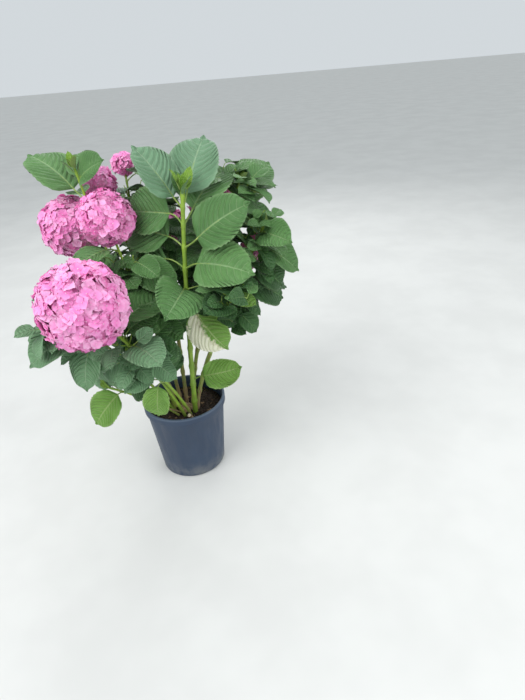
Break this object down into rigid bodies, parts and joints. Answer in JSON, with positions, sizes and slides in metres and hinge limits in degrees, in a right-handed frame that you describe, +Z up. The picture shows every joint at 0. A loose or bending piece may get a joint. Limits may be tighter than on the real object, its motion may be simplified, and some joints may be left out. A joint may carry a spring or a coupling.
{
  "type": "potted hydrangea shrub",
  "caption": "Mophead hydrangea in a round nursery pot: leafy canes rise from the soil and fan out, and some end in balls of pink blossom.",
  "frame": {"origin": "middle of the pot's flat underside", "axes": "+Z up along the pot's middle, -Y towards the side the picture shows, +X to the right seen from there"},
  "size_m": [0.7468, 0.7566, 1.0107],
  "materials": {
    "pot": "dull moulded slate-blue plastic",
    "soil": "loose dark compost",
    "bark": "tan, finely furrowed bark",
    "green_stem": "smooth green shoot with pale dots",
    "leaf": "quilted leaf with a soft sheen",
    "blossom": "soft pink sepals"
  },
  "bodies": {
    "root": {"bloom_back_left": "blossom", "bloom_back_left_far": "blossom", "bloom_back_outer": "blossom", "bloom_back_right": "blossom", "bloom_front_left": "blossom", "bloom_left_middle": "blossom", "bloom_left_outer": "blossom", "bloom_right_bloom": "blossom", "bough_back_left": "green_stem", "bough_back_left_far": "green_stem", "bough_back_outer": "green_stem", "bough_back_right": "green_stem", "bough_back_upper": "green_stem", "bough_left_outer": "green_stem", "bough_left_upper": "green_stem", "bough_right_back": "green_stem", "bough_right_lower": "green_stem", "bough_right_upper": "green_stem", "cane_back": "bark", "cane_back_left": "bark", "cane_back_right": "bark", "cane_front_left": "green_stem", "cane_front_low": "green_stem", "cane_leader": "green_stem", "cane_left_back": "bark", "cane_left_low": "green_stem", "cane_left_middle": "green_stem", "cane_left_trailing": "green_stem", "cane_right": "bark", "cane_right_bloom": "green_stem", "cut_stub": "bark", "leaves_back_left": "leaf", "leaves_back_left_far": "leaf", "leaves_back_outer": "leaf", "leaves_back_right": "leaf", "leaves_back_upper": "leaf", "leaves_front_left": "leaf", "leaves_front_low": "leaf", "leaves_leader": "leaf", "leaves_left_low": "leaf", "leaves_left_middle": "leaf", "leaves_left_outer": "leaf", "leaves_left_trailing": "leaf", "leaves_left_upper": "leaf", "leaves_right_back": "leaf", "leaves_right_bloom": "leaf", "leaves_right_lower": "leaf", "leaves_right_upper": "leaf", "pot": "pot", "soil": "soil", "woody_crown": "bark"}
  },
  "joints": []
}
